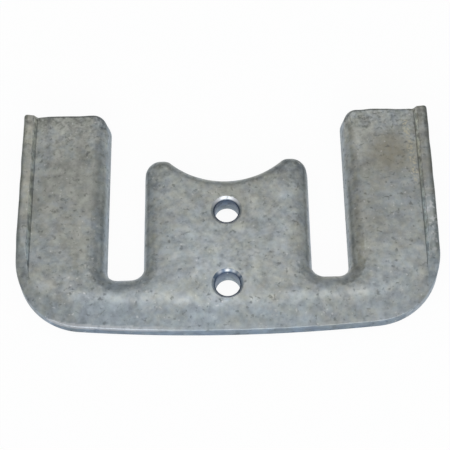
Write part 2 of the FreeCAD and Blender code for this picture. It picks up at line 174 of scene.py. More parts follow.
def curved(centre, radius, start, end, draft, roundings, growth=2.0):
    """The same along an arc: its normals point away from the centre where the angle grows.

    The rounding changes as the share of the arc to the power of the growth.
    """
    share = np.linspace(0.0, 1.0, max(2, round(radius * abs(end - start) / PATH_STEP)) + 1)
    angle = start + (end - start) * share
    ray = np.column_stack((np.cos(angle), np.sin(angle)))
    normals = ray * (1 if end > start else -1)
    return centre + radius * ray, normals, normals * draft, np.interp(share**growth, (0, 1), roundings)


def right_half():
    """The outline from the middle of the bow round the right arm to the middle of the notch.

    Arcs and lines that touch, with the metal on their left. Returns points, outward normals,
    leans and edge roundings.
    """
    quarter, inner, outer = math.pi / 2, OPENING_DRAFT, SIDE_DRAFT
    bow_centre = BOW_RADIUS - BOTTOM_REACH
    corner_x, corner_y = corner_centre(CORNER_RADIUS)
    turn = math.atan2(corner_y - bow_centre, corner_x)
    tip_x, tip_y = HALF_WIDTH - TIP_RADIUS, ARM_REACH - TIP_RADIUS
    arm_x, arm_y = SLOT_OUTER + ARM_CORNER, ARM_REACH - ARM_CORNER
    taper_y, low = arm_y - ARM_TAPER, SLOT_FLOOR + SLOT_CORNER
    horn_y, flat_x = HORN_REACH - HORN_CORNER, SLOT_INNER - HORN_CORNER
    peak_x, peak_y = flat_x - HORN_FLAT, HORN_REACH - HORN_TIP
    notch_y = (peak_y**2 + peak_x**2 - (NOTCH_FLOOR - HORN_TIP) ** 2) / (2 * (HORN_REACH - NOTCH_FLOOR))
    dip = math.atan2(notch_y - peak_y, -peak_x)
    rim, slot = (RIM, RIM), (SLOT_EDGE, SLOT_EDGE)
    end, over = (ARM_END_EDGE, ARM_END_EDGE), (NOTCH_EDGE, NOTCH_EDGE)
    pieces = [
        curved((0, bow_centre), BOW_RADIUS, -quarter, turn, outer, rim),
        curved((corner_x, corner_y), CORNER_RADIUS, turn, 0, outer, rim),
        straight((HALF_WIDTH, corner_y), (HALF_WIDTH, tip_y), outer, rim),
        curved((tip_x, tip_y), TIP_RADIUS, 0, quarter, outer, (RIM, ARM_END_EDGE)),
        straight((tip_x, ARM_REACH), (arm_x, ARM_REACH), inner, end),
        curved((arm_x, arm_y), ARM_CORNER, quarter, 2 * quarter, inner,
               (ARM_END_EDGE, CORNER_EDGE), CORNER_GROWTH),
        straight((SLOT_OUTER, arm_y), (SLOT_OUTER, taper_y), inner, (CORNER_EDGE, ARM_EDGE)),
        straight((SLOT_OUTER, taper_y), (SLOT_OUTER, low), inner, (ARM_EDGE, SLOT_EDGE)),
        curved((SLOT_OUTER - SLOT_CORNER, low), SLOT_CORNER, 0, -quarter, inner, slot),
        straight((SLOT_OUTER - SLOT_CORNER, SLOT_FLOOR), (SLOT_INNER + SLOT_CORNER, SLOT_FLOOR), inner, slot),
        curved((SLOT_INNER + SLOT_CORNER, low), SLOT_CORNER, -quarter, -2 * quarter, inner, slot),
        straight((SLOT_INNER, low), (SLOT_INNER, horn_y), inner, (SLOT_EDGE, HORN_EDGE)),
        curved((flat_x, horn_y), HORN_CORNER, 0, quarter, inner, (HORN_EDGE, NOTCH_EDGE)),
        straight((flat_x, HORN_REACH), (peak_x, HORN_REACH), inner, over),
        curved((peak_x, peak_y), HORN_TIP, quarter, dip, inner, over),
        curved((0, notch_y), notch_y - NOTCH_FLOOR, math.pi + dip, 3 * quarter, inner, over),
    ]
    # The two walls that meet at the arm's tip draw back together, each along the other
    side, tip, across = pieces[2:5]
    side[2][:, 1] = OPENING_DRAFT * np.linspace(0, 1, len(side[2])) ** 2
    tip[2][:] = (SIDE_DRAFT, OPENING_DRAFT)
    across[2][:, 0] = SIDE_DRAFT * np.linspace(1, 0, len(across[2])) ** 2
    return [np.concatenate([piece[column][:-1] for piece in pieces] + [pieces[-1][column][-1:]])
            for column in range(4)]


def whole_outline():
    """The right half and its mirror image, one closed round with the metal on its left."""
    aside = (-1.0, 1.0)
    return [np.concatenate((part, part[-2:0:-1] * flip))
            for part, flip in zip(right_half(), (aside, aside, aside, 1.0))]


def crown_at(x):
    """How far the front sinks at the openings' brim, and how far in that reaches, by place across."""
    aside = np.abs(x)
    return np.interp(aside, CROWN_PLACES, CROWN_DROPS), np.interp(aside, CROWN_PLACES, CROWN_REACHES)


def carry_profile():
    """The edge's section carried round the outline: back edge, leaning wall, round to the face.

    At each point the wall rises by the lean until it meets the front, sunk and tilted there by
    the crown. An arc of the local radius touches both: its centre lies back from the meeting
    point by the radius times the sum of the two normals over one plus their product. Returns
    rows of rings.
    """
    points, normals, leans, radius = whole_outline()
    top = np.full(len(points), FACE)
    for _ in range(6):
        edge = points - leans * top[:, None]
        top = face_height(*edge.T)
    edge = points - leans * top[:, None]
    near = edge - PROBE_NEAR * normals
    far = edge - PROBE_FAR * normals
    fall = (face_height(*far.T) - face_height(*near.T)) / (PROBE_FAR - PROBE_NEAR)
    fall = np.clip(fall, 0.0, SLOPE_RISE)
    drop, reach = crown_at(points[:, 0])
    drop = drop * rise(radius, ARM_END_EDGE, CROWN_ONSET)
    tilt = np.arctan(fall + 2.0 * drop / reach)
    lean = np.arctan(np.sum(leans * normals, axis=1))
    touch = radius * np.tan((math.pi / 2 - lean - tilt) / 2) * np.cos(tilt)
    top = top - drop - touch * 2.0 * drop / reach
    edge = points - leans * top[:, None]
    back = radius / (1 + np.sin(tilt + lean))
    centre_out = -back * (np.sin(tilt) + np.cos(lean))
    centre_up = top - back * (np.cos(tilt) + np.sin(lean))
    rows = []
    for share in np.linspace(1.0, 0.0, ROUND_STEPS):
        angle = tilt + share * (math.pi / 2 - lean - tilt)
        out = centre_out + radius * np.sin(angle)
        rows.append(np.column_stack((edge + normals * out[:, None], centre_up + radius * np.cos(angle))))
    foot = rows[0][:, 2]
    walls = []
    for share in np.linspace(0.0, 1.0, WALL_STEPS)[:-1]:
        height = BACK_EDGE + (foot - BACK_EDGE) * share
        walls.append(np.column_stack((points - leans * height[:, None], height)))
    turned = []
    for angle in np.radians(BACK_ANGLES):
        inset = BACK_EDGE * (1 - math.cos(angle))
        height = np.full(len(points), BACK_EDGE * (1 - math.sin(angle)))
        turned.append(np.column_stack((points - normals * inset, height)))
    return np.array(turned + walls + rows)


def bore_rings(centre_y):
    """A bolt hole as a section turned about its axis: mouth, chamfer, bore and back edge.

    The section's rows are a radius and a height, each turned in even steps.
    """
    mouth = BORE_RADIUS + BORE_CHAMFER
    section = np.array([
        (mouth + 0.12, FACE), (mouth + 0.02, FACE - 0.04), (mouth - 0.06, FACE - 0.11),
        (BORE_RADIUS + 0.5, FACE - 0.5), (BORE_RADIUS + 0.06, FACE - 0.94), (BORE_RADIUS, FACE - 1.06),
        *((BORE_RADIUS, level) for level in BORE_LEVELS),
        (BORE_RADIUS + 0.09, 0.09), (BORE_RADIUS + BACK_EDGE, 0.0)])
    angle = np.linspace(0, 2 * math.pi, BORE_STEPS, endpoint=False)
    x = section[:, :1] * np.cos(angle)
    y = centre_y + section[:, :1] * np.sin(angle)
    return np.stack((x, y, np.broadcast_to(section[:, 1:], x.shape)), axis=-1)


def ring_quads(rows, columns, first):
    """Faces between neighbouring rings of a closed strip, as corner numbers."""
    row, column = np.mgrid[0:rows - 1, 0:columns]
    after = (column + 1) % columns
    here = first + row * columns
    return np.stack((here + column, here + after, here + columns + after, here + columns + column),
                    axis=-1).reshape(-1, 4)


def side_of_loop(loop, points):
    """Distance from each point to a closed round, positive on its left."""
    ahead = np.roll(loop, -1, axis=0) - loop
    result = np.empty(len(points))
    for start in range(0, len(points), CHUNK):
        part = points[start:start + CHUNK]
        gap = part[:, None, :] - loop[None, :, :]
        along = np.clip((gap * ahead).sum(-1) / (ahead**2).sum(-1), 0.0, 1.0)
        gap -= along[..., None] * ahead
        reach = (gap**2).sum(-1)
        best = reach.argmin(axis=1)
        rows = np.arange(len(part))
        nearest, way = gap[rows, best], ahead[best]
        left = way[:, 0] * nearest[:, 1] - way[:, 1] * nearest[:, 0]
        result[start:start + CHUNK] = np.sign(left) * np.sqrt(reach[rows, best])
    return result


def inside_loops(loops, points, margin=0.0):
    """Whether each point lies on the left of every closed round, by more than a margin."""
    return np.all([side_of_loop(loop, points) > margin for loop in loops], axis=0)


def plan_triangles(points, edges):
    """Triangles over the plane that use every point and keep every given edge."""
    found = delaunay_2d_cdt([Vector(point) for point in points], edges.tolist(), [], 0, 1e-7)
    if len(found[0]) != len(points):
        raise RuntimeError("the fill made points of its own")
    return np.array(found[2])


def loop_edges(first, count):
    """Edges of a closed round of points that follow each other."""
    numbers = np.arange(first, first + count)
    return np.column_stack((numbers, np.roll(numbers, -1)))


def front_grid(loops):
    """Points of a grid over the front whose cells lie wholly inside the closed rounds.

    Its lines across run close together at the lips' inner walls.
    Returns the points' places, the cells' corner numbers, the edges of the cells' border, and
    the grid's lines with its kept cells.
    """
    even_end = LIP_FOOT + LIP_LINES[0]
    half = np.concatenate((
        np.linspace(0.0, even_end, round(even_end / GRID_STEP)),
        LIP_FOOT + np.array(LIP_LINES[1:-1]),
        np.arange(LIP_FOOT + LIP_LINES[-1], HALF_WIDTH, GRID_STEP)))
    across = np.concatenate((-half[:0:-1], half))
    along = np.arange(-BOTTOM_REACH, ARM_REACH, GRID_STEP)
    x, y = np.meshgrid(across, along)
    places = np.column_stack((x.ravel(), y.ravel()))
    inside = inside_loops(loops, places, GRID_MARGIN * GRID_STEP).reshape(x.shape)
    cells = inside[:-1, :-1] & inside[1:, :-1] & inside[:-1, 1:] & inside[1:, 1:]
    row, column = np.nonzero(cells)
    corner = row * len(across) + column
    quads = np.column_stack((corner, corner + 1, corner + 1 + len(across), corner + len(across)))
    sides = np.concatenate([quads[:, (k, (k + 1) % 4)] for k in range(4)])
    _, index, count = np.unique(np.sort(sides, axis=1), axis=0, return_index=True, return_counts=True)
    border = sides[index[count == 1]]
    used, corners = np.unique(quads, return_inverse=True)
    return places[used], corners.reshape(-1, 4), np.searchsorted(used, border), (across, along, cells)


def in_cells(points, cells):
    """Whether each point lies in a kept cell of the grid."""
    across, along, kept = cells
    column = np.clip(np.searchsorted(across, points[:, 0]) - 1, 0, kept.shape[1] - 1)
    row = np.clip(np.searchsorted(along, points[:, 1]) - 1, 0, kept.shape[0] - 1)
    return kept[row, column]


def nearest_point(points, targets):
    """Distance from each point to the nearest of the targets."""
    return np.concatenate([
        np.sqrt(((points[start:start + CHUNK, None, :] - targets[None]) ** 2).sum(-1).min(axis=1))
        for start in range(0, len(points), CHUNK)])


def crown(solid, strip):
    """The surface with its front sunk towards the openings' brim, where the strip ends low.

    The drop falls off as the square of one minus the distance over its reach, and down the
    slope as the square of the height over the face's.
    """
    radius = whole_outline()[3]
    brim = strip[-1][radius > BRIM_EDGE]
    count = strip.shape[0] * strip.shape[1]
    front = solid[count:]
    drop, reach = crown_at(front[:, 0])
    away = nearest_point(front[:, :2], brim[::3, :2])
    share = np.clip(1.0 - away / reach, 0.0, 1.0) ** 2
    front[:, 2] -= drop * share * np.clip(front[:, 2] / FACE, 0.0, 1.0) ** 2
    return solid


def rounds_in_plan(solid, rounds):
    """Places of the outline and the bores, these turned round, so that the metal is on the left."""
    outline, *bores = [solid[numbers, :2] for numbers in rounds]
    return [outline] + [bore[::-1] for bore in bores]


def fill_rounds(solid, rounds, loops, border=None):
    """Triangles between closed rounds and, where one is given, the border of a grid.

    A triangle stays where its middle is on the left of every round. Returns corners and middles.
    """
    numbers = np.concatenate(rounds)
    firsts = np.cumsum([0] + [len(part) for part in rounds])
    edges = [loop_edges(first, len(part)) for first, part in zip(firsts, rounds)]
    if border is not None:
        border_points, border_edges = np.unique(border, return_inverse=True)
        numbers = np.concatenate((numbers, border_points))
        edges.append(border_edges.reshape(-1, 2) + firsts[-1])
    flat = solid[numbers, :2]
    triangles = plan_triangles(flat, np.concatenate(edges))
    middle = flat[triangles].mean(axis=1)
    keep = inside_loops(loops, middle)
    return numbers[triangles[keep]], middle[keep]


def casting_surface():
    """The whole closed surface in millimetres: edge strip, front, back and bores.

    The front is a grid with heights from face_height, and bands of triangles close the rest.
    """
    strip = carry_profile()
    rows, count = strip.shape[:2]
    vertices = [strip.reshape(-1, 3)]
    faces = [ring_quads(rows, count, 0)]
    total = rows * count
    front_rounds = [np.arange((rows - 1) * count, total)]
    back_rounds = [np.arange(count)]
    for centre_y in (BORE_Y, -BORE_Y):
        rings = bore_rings(centre_y)
        vertices.append(rings.reshape(-1, 3))
        faces.append(ring_quads(len(rings), BORE_STEPS, total))
        front_rounds.append(np.arange(total, total + BORE_STEPS))
        total += rings.shape[0] * BORE_STEPS
        back_rounds.append(np.arange(total - BORE_STEPS, total))
    solid = np.concatenate(vertices)
    front_loops = rounds_in_plan(solid, front_rounds)
    places, quads, border, cells = front_grid(front_loops)
    solid = np.concatenate((solid, np.column_stack((places, face_height(*places.T)))))
    faces.append(quads + total)
    band, middle = fill_rounds(solid, front_rounds, front_loops, border + total)
    faces.append(band[~in_cells(middle, cells)])
    under, _ = fill_rounds(solid, back_rounds, rounds_in_plan(solid, back_rounds))
    faces.append(under[:, ::-1])
    return crown(solid, strip), faces


def round_bore(solid):
    """Distance from the nearer bolt hole's axis, the share of it that points up the plate, and
    the angle round the axis in degrees."""
    x, y, _ = solid.T
    up = np.where(y > 0, y - BORE_Y, y + BORE_Y)
    away = np.hypot(x, up)
    return away, up / np.maximum(away, 1e-6), np.degrees(np.arctan2(up, x))


def chamfer_light(solid):
    """How bright the painted highlight on the chamfers' far sides is: the upper one all along, the lower one
    in spots.

    Each spot is a bell over the angle round the axis.
    """
    away, ahead, angle = round_bore(solid)
    spots = sum(share * np.exp(-((angle - place) / width) ** 2) for place, width, share in CHAMFER_SPOTS)
    outer = np.clip((away - BORE_RADIUS - CHAMFER_EDGE) / CHAMFER_FADE, 0.15, 1.0)
    return outer * np.where(solid[:, 1] > 0, np.clip(ahead * 1.25, 0.0, 1.0) ** 2, np.minimum(spots, 1.0))


def on_chamfer(solid, spare):
    """Whether each point lies on a chamfer, or outside its brim by less than some spare."""
    away = round_bore(solid)[0]
    return (away < BORE_RADIUS + BORE_CHAMFER + spare) & (solid[:, 2] > FACE - CHAMFER_DEPTH)


def bare_metal_and_highlight(solid):
    """How bare and smooth the metal is, and how much light is painted on it: a painted highlight on the
    chamfers' far sides, painted light on their near sides, and a painted highlight on the bare rim below the
    slope."""
    x, y, z = solid.T
    # Painted light on the chamfers' near sides
    near = NEAR_SIDE * np.clip(-round_bore(solid)[1], 0.0, 1.0) ** 2
    # Bare metal with a painted highlight on the rim below the slope, brighter to the left
    rim = (y < RIM_TOP) & (slope_reach(x, y) < RIM_REACH) & (z > SLOPE_START - RIM_DEPTH)
    return np.maximum(on_chamfer(solid, 0.02) * np.maximum(chamfer_light(solid), near),
                      rim * np.interp(x, RIM_PLACES, RIM_SHARES))


def shaded_bore(solid):
    """How dark the painted shade is in the bores, most just below the upper chamfer, and on the chamfers
    outside their painted highlights.

    In a bore the shade grows with a power of the height, on a chamfer it fades outwards.
    """
    y, z = solid[:, 1], solid[:, 2]
    away, ahead, _ = round_bore(solid)
    bore = (away < BORE_RADIUS + BORE_SPARE) & (z < FACE - BORE_TOP)
    growth = rise(z, SHADE_FOOT, SHADE_LENGTH) ** SHADE_POWER
    wall = bore * (BORE_LEAST + (1.0 - BORE_LEAST) * growth) * np.where(y > 0, 1.0, LOWER_BORE)
    ends = BORE_RADIUS + CHAMFER_EDGE, BORE_RADIUS + BORE_CHAMFER - CHAMFER_EDGE
    fade = np.interp(away, ends, CHAMFER_SHADES)
    fade = np.where((y < 0) & (ahead > FAR_SIDE), LOWER_FAR_SHADE, fade)
    sides = on_chamfer(solid, 0.05) * fade * (1.0 - chamfer_light(solid)) * np.clip(1.2 + ahead, 0.0, 1.0)
    return np.maximum(wall, sides)


def outer_wall(solid):
    """Whether each point lies on the outer walls, which get the darkest painted shade."""
    x, y = solid[:, 0], solid[:, 1]
    return (slope_reach(x, y) < OUTER_REACH) | (np.abs(x) > HALF_WIDTH - OUTER_SIDE)


def on_slope(solid):
    """1 on the slope, fading to 0 over the crest above it."""
    x, y, z = solid.T
    crest = (FACE - SLOPE_START) / SLOPE_RISE
    return np.clip((crest - SLOPE_STOP - slope_reach(x, y)) / SLOPE_FADE, 0.0, 1.0) * (z > SLOPE_START)


def lattice_noise(points, length, seed):
    """Smooth noise from -1 to 1: random values at a lattice's corners, blended between them.

    The blend runs from corner to corner as three times the square less twice the cube.
    """
    table = np.random.default_rng(seed).uniform(-1.0, 1.0, TABLE)
    place = points / length + LATTICE / 2
    cell = np.floor(place).astype(int)
    part = place - cell
    part = part * part * (3.0 - 2.0 * part)
    total = np.zeros(len(points))
    for step in np.ndindex(2, 2, 2):
        weight = np.where(np.array(step) == 1, part, 1.0 - part).prod(axis=1)
        total += weight * table[tuple(((cell + step) % LATTICE).T)]
    return total


def pit_bowls(points, cell_size, radius, share, seed):
    """Bowls from 0 to 1: a share of a lattice's cells hold one, deepest at its middle.

    A bowl falls off as the square of one minus the squared distance over its radius.
    """
    rng = np.random.default_rng(seed)
    middles = rng.uniform(0.0, 1.0, (*TABLE, 3))
    sizes = np.where(rng.uniform(size=TABLE) < share, rng.uniform(0.5, 1.0, TABLE), 0.0)
    place = points / cell_size + LATTICE / 2
    cell = np.floor(place).astype(int)
    deepest = np.zeros(len(points))
    for step in np.ndindex(3, 3, 3):
        other = cell + np.array(step) - 1
        index = tuple((other % LATTICE).T)
        reach = np.linalg.norm(other + middles[index] - place, axis=1) * cell_size
        size = np.maximum(sizes[index] * radius, 1e-9)
        bowl = np.clip(1.0 - (reach / size) ** 2, 0.0, None) ** 2
        deepest = np.maximum(deepest, bowl * sizes[index])
    return deepest


def cast_relief(points, relief):
    """How far the skin stands off along its normal, in millimetres, and where its pits are.

    Slow waves, ripples and grain are added up, each from lattice noise. The ripples are deeper
    up the plate, at the arms' ends and on the lips. The pits are taken off.
    """
    seed = relief.seed
    upper = rise(points[:, 1], *UPPER_PART)
    sag = (lattice_noise(points, SAG_LENGTHS[0], seed)
           + SECOND_SAG * lattice_noise(points, SAG_LENGTHS[1], seed + 1))
    ripple = lattice_noise(points, RIPPLE_LENGTH, seed + 2)
    ripple *= RIPPLE_LEAST + RIPPLE_UPPER * upper + RIPPLE_ENDS * rise(points[:, 1], *ARM_ENDS)
    ripple *= 1.0 + RIPPLE_LIPS * rise(np.abs(points[:, 0]), *LIP_SIDES)
    skin = (lattice_noise(points, SKIN_LENGTHS[0], seed + 3)
            + SECOND_SKIN * lattice_noise(points, SKIN_LENGTHS[1], seed + 4))
    pits = pit_bowls(points, *LARGE_PITS, seed + 5)
    pits = np.maximum(pits, upper * pit_bowls(points, *SMALL_PITS, seed + 6))
    stand = (relief.sag * sag + relief.ripple * ripple + relief.skin * skin - relief.pit * pits) / MM
    return stand, pits


# Sizes and colours that a user would change
def colour_of(name, description, default):
    """A colour setting."""
    return FloatVectorProperty(name=name, description=description, subtype="COLOR",
                               size=3, min=0.0, max=1.0, default=default)


def depth_of(name, description, default):
    """A small length, in metres."""
    return FloatProperty(name=name, description=description, unit="LENGTH",
                         default=default, min=0.0, precision=6)


def share_of(name, description, default):
    """A setting from 0 to 1."""
    return FloatProperty(name=name, description=description, subtype="FACTOR",
                         default=default, min=0.0, max=1.0)


def angle_of(name, description, degrees):
    """An angle, given in degrees."""
    return FloatProperty(name=name, description=description, subtype="ANGLE", default=math.radians(degrees))


class CastRelief(bpy.types.PropertyGroup):
    """How uneven the casting is."""

    sag: depth_of("Sag", "Depth of the slow waves over the face", 0.00007)
    ripple: depth_of("Ripple", "Depth of the waves some millimetres long", 0.000035)
    skin: depth_of("Skin", "Depth of the grain in the cast skin", 0.000014)
    pit: depth_of("Pits", "Depth of the larger pits", 0.00009)
    seed: IntProperty(name="Seed", description="Start of the random numbers", default=11, min=0)


class MetalFinish(bpy.types.PropertyGroup):
    """Colours of the raw casting."""

    cool: colour_of("Cool grey", "The cast skin where it is clean", (0.338, 0.366, 0.388))
    warm: colour_of("Warm grey", "The cast skin where it is oxidised", (0.338, 0.340, 0.314))
    dark: colour_of("Pits", "Dirt in the pits", (0.10, 0.105, 0.10))
    # This colour also paints the highlights on the chamfers and along the rim below the slope
    light: colour_of("Specks", "Bare metal specks and worn rims", (0.65, 0.65, 0.67))
    ochre: colour_of("Ochre", "Grains beside the right lip", (0.56, 0.51, 0.37))
    stain: colour_of("Stain", "Brown stain on the right arm", (0.23, 0.205, 0.15))
    roughness: share_of("Roughness", "How dull the cast skin is", 0.46)
    bare_roughness: share_of("Bare roughness", "How dull the cut and worn metal is", 0.3)


class StudioSettings(bpy.types.PropertyGroup):
    """Camera and surroundings."""

    lens: FloatProperty(
        name="Lens", description="Focal length on a 36 mm sensor, in millimetres",
        default=90.58, min=10.0, subtype="DISTANCE_CAMERA")
    distance: FloatProperty(
        name="Distance", description="From the camera to its aim point",
        default=0.3724, min=0.05, unit="LENGTH")
    tilt: angle_of("Tilt", "Angle between the view and the plate's normal", 24.4)
    turn: angle_of("Turn", "How far the camera is turned round the plate", 2.17)
    roll: angle_of("Roll", "How far the picture is turned about the view", 3.27)
    aim: FloatVectorProperty(
        name="Aim", description="Point that the camera looks at",
        subtype="TRANSLATION", size=3, default=(-0.00068, 0.01088, 0.0))
    paper: share_of("Paper", "Share of the floor that shows plain white", 0.94)


def build_casting(relief):
    """The casting's mesh with the marks that its material reads.

    Each point is lifted along its normal by the relief, none at the back and little on the bare metal and its
    painted highlights.
    """
    solid, faces = casting_surface()
    bare = bare_metal_and_highlight(solid)
    mesh = bpy.data.meshes.new("anode_casting")
    mesh.from_pydata((solid * MM).tolist(), [], [face for group in faces for face in group.tolist()])
    mesh.update()
    normals = np.empty(len(solid) * 3)
    mesh.vertex_normals.foreach_get("vector", normals)
    normals = normals.reshape(-1, 3)
    stand, pits = cast_relief(solid, relief)
    stand[solid[:, 2] < SMOOTH_BACK] = 0.0
    stand *= 1.0 - BARE_SMOOTHING * bare
    mesh.vertices.foreach_set("co", ((solid + normals * stand[:, None]) * MM).ravel())
    mesh.polygons.foreach_set("use_smooth", np.ones(len(mesh.polygons), bool))
    marks = {"pit": pits, "bare": bare, "wall": outer_wall(solid), "bore": shaded_bore(solid),
             "slope": on_slope(solid), "tilt": 1.0 - normals[:, 2]}
    for name, values in marks.items():
        data = mesh.attributes.new(name, "FLOAT", "POINT").data
        data.foreach_set("value", values.astype(np.float32))
    mesh.update()
    return mesh


class NodeBuilder:
    """Adds nodes to a tree and joins them."""

    def __init__(self, tree):
        self.tree = tree

    def put(self, socket, value):
        """Links a socket to another one, or gives it a plain value."""
        if isinstance(value, bpy.types.NodeSocket):
            self.tree.links.new(value, socket)
        else:
            socket.default_value = value

    def add(self, kind, values=None, **settings):
        """A node with its settings, and values or links for its sockets."""
        node = self.tree.nodes.new(kind)
        for name, value in settings.items():
            setattr(node, name, value)
        for name, value in (values or {}).items():
            self.put(node.inputs[name], value)
        return node

    def math(self, operation, first, second=0.0, third=0.0):
        """One step of reckoning with up to three values."""
        node = self.add("ShaderNodeMath", {0: first, 1: second, 2: third}, operation=operation)
        return node.outputs[0]

    def times(self, first, *others):
        """The product of several values."""
        for other in others:
            first = self.math("MULTIPLY", first, other)
        return first

    def plus(self, first, *others):
        """The sum of several values."""
        for other in others:
            first = self.math("ADD", first, other)
        return first

    def most(self, first, second):
        """The greater of two values."""
        return self.math("MAXIMUM", first, second)

    def ramp(self, value, low, high, to_low=0.0, to_high=1.0):
        """A smooth step of a value from one range to another."""
        node = self.add("ShaderNodeMapRange", {"Value": value, "From Min": low, "From Max": high,
                                               "To Min": to_low, "To Max": to_high},
                        interpolation_type="SMOOTHSTEP")
        return node.outputs["Result"]

    def window(self, value, start, full, fade, end):
        """A smooth step up from start to full, and down again from fade to end."""
        return self.times(self.ramp(value, start, full), self.ramp(value, end, fade))

    def mix(self, share, first, second, blend="MIX"):
        """A colour between two others, or their product, as far as the share says."""
        node = self.add("ShaderNodeMix", {0: share, 6: first, 7: second},
                        data_type="RGBA", blend_type=blend)
        return node.outputs[2]


# Noises of the skin: length of their features in metres, detail, roughness and distortion
NOISES = {
    "drift": (0.013, 3.0, 0.6),
    "tinge": (0.0026,),
    "green": (0.0031, 2.0, 0.5, 0.3),
    "clouds": (0.0052, 3.0, 0.6),
    "blotch": (0.0023,),
    "grain": (0.0011,),
    "wander": (0.004,),
    "ochre": (0.0007, 1.0),
    "hollow": (0.0014, 2.0, 0.55, 0.15),
    "glint": (0.0013, 1.0),
    "wear": (0.0022, 3.0),
    "pore": (0.00045,),
}

# What the mesh tells of each point, besides its place
MARKS = ("tilt", "bare", "slope", "wall", "bore", "pit")

# Colours that multiply the skin's, by the part of the casting
TINTS = {
    "green": (1.0, 1.022, 1.0),
    # Brownish colour, darkened as painted shade, where the edges begin to turn
    "brown": (0.935, 0.905, 0.845),
    # Painted shade on the arms where the edges begin to turn
    "fringe_shade": (0.86, 0.87, 0.89),
    # Painted cool light where the surface turns
    "turned": (0.965, 0.99, 1.02),
    # Painted bluish light on the steep walls
    "wall": (0.84, 0.93, 1.05),
    # Painted shade on the outer walls
    "outer_wall": (0.66, 0.71, 0.76),
    # Painted shade in the bores and on the chamfers' sides
    "bore": (0.04, 0.14, 0.32),
    "lip": (1.30, 1.26, 1.20),
    "right_lip": (0.69, 0.70, 0.72),
    "left_lip": (0.90, 0.90, 0.90),
    # Painted light on the lips' inner walls
    "lip_wall": (2.3, 2.3, 2.26),
    # More painted light on the right lip's inner wall
    "right_lip_wall": (1.2, 1.2, 1.2),
    "low_right_lip": (0.96, 1.0, 1.05),
    # Painted shade line along the outer edges and the arms' ends
    "edge_line_shade": (0.54, 0.56, 0.56),
}

# Darker and lighter places on the front, among them painted shade on the horns and painted highlights on the
# right arm and the crest: centre and reach in metres, and what the tone loses
SHADES = (
    # Painted shade on the horns
    ((0.0238, 0.028, 0.008), 0.013, 0.28),
    ((-0.0225, 0.025, 0.008), 0.013, 0.09),
    ((-0.056, -0.016, 0.006), 0.024, 0.10),
    ((-0.0425, 0.0475, 0.0075), 0.007, 0.2),
    ((0.0415, 0.0475, 0.0075), 0.006, 0.2),
    ((-0.0115, 0.0205, 0.008), 0.012, -0.14),
    ((0.050, 0.046, 0.008), 0.013, -0.12),
    # Painted highlight on the right arm
    ((0.0445, 0.0365, 0.008), 0.006, -0.2),
    # Painted highlight along the crest in the middle
    ((0.0, -0.0165, 0.008), 0.03, -0.06),
)
MIDDLE_SPOT = (0.0, -0.004, 0.008), 0.042
STAIN_SPOT = (0.0545, 0.0325, 0.008), 0.0115

STAIN_SHARE, OCHRE_SHARE, DIRT_SHARE, SPECK_SHARE = 0.72, 0.55, 0.28, 0.36
ROUGHNESS_SPREAD, DIRT_ROUGHNESS = 0.07, 0.25
GRAIN_LIFT, PORE_LIFT, PIT_LIFT = 0.5, 0.35, -0.45
BUMP_STRENGTH, BUMP_DEPTH = 0.38, 0.00006


class CastSkin(NodeBuilder):
    """The nodes of the cast metal. Lengths are in metres, like the Object coordinates they read."""

    def __init__(self, tree, finish):
        super().__init__(tree)
        self.finish = finish
        self.place = self.add("ShaderNodeTexCoord").outputs["Object"]
        axes = self.add("ShaderNodeSeparateXYZ", {0: self.place}).outputs
        self.x, self.y, self.z = axes["X"], axes["Y"], axes["Z"]
        self.across = self.math("ABSOLUTE", self.x)
        for name, values in NOISES.items():
            setattr(self, name, self.noise(*values))
        for name in MARKS:
            setattr(self, name, self.add("ShaderNodeAttribute", attribute_name=name).outputs["Fac"])
        self.upper = self.ramp(self.y, -0.02, 0.045)
        self.lumpy = self.ramp(self.clouds, 0.2, 0.6, 0.35, 1.0)
        self.on_lip = self.ramp(self.across, 0.0626, 0.0636)
        self.right_lip = self.times(self.on_lip, self.ramp(self.x, 0.0, 0.001))
        self.low_right_lip = self.times(self.right_lip, self.ramp(self.y, 0.022, 0.010))

    def noise(self, length, detail=2.0, roughness=0.5, distortion=0.0):
        """Noise whose features are about this long."""
        node = self.add("ShaderNodeTexNoise",
                        {"Vector": self.place, "Scale": 1.0 / length, "Detail": detail,
                         "Roughness": roughness, "Distortion": distortion})
        return node.outputs["Fac"]

    def near(self, centre, reach):
        """1 at a point of the piece, fading to 0 at some reach from it."""
        node = self.add("ShaderNodeVectorMath", {0: self.place, 1: centre}, operation="DISTANCE")
        return self.ramp(node.outputs["Value"], 0.0, reach, 1.0, 0.0)

    def tint(self, skin, share, name):
        """The skin times one of the tints, as far as the share says."""
        return self.mix(share, skin, (*TINTS[name], 1.0), "MULTIPLY")

    def cover(self, skin, share, colour):
        """The skin covered by a colour, as far as the share says."""
        return self.mix(share, skin, (*colour, 1.0))


def skin_colour(n):
    """Slow drifts between cool and warm grey, warmer on the arms, greenish in places."""
    warmth = n.plus(
        n.times(n.upper, 0.32),
        n.ramp(n.drift, 0.28, 0.82),
        n.ramp(n.tinge, 0.3, 0.7, -0.28, 0.28),
        n.times(n.ramp(n.across, 0.034, 0.042), n.ramp(n.y, -0.014, -0.004, 0.0, 0.25)),
        n.ramp(n.y, -0.006, -0.014, 0.0, -0.1),
        n.ramp(n.y, 0.036, 0.047, 0.0, -0.25))
    warmth = n.add("ShaderNodeClamp", {"Value": warmth}).outputs[0]
    skin = n.mix(warmth, (*n.finish.cool, 1.0), (*n.finish.warm, 1.0))
    return n.tint(skin, n.ramp(n.green, 0.3, 0.7), "green")


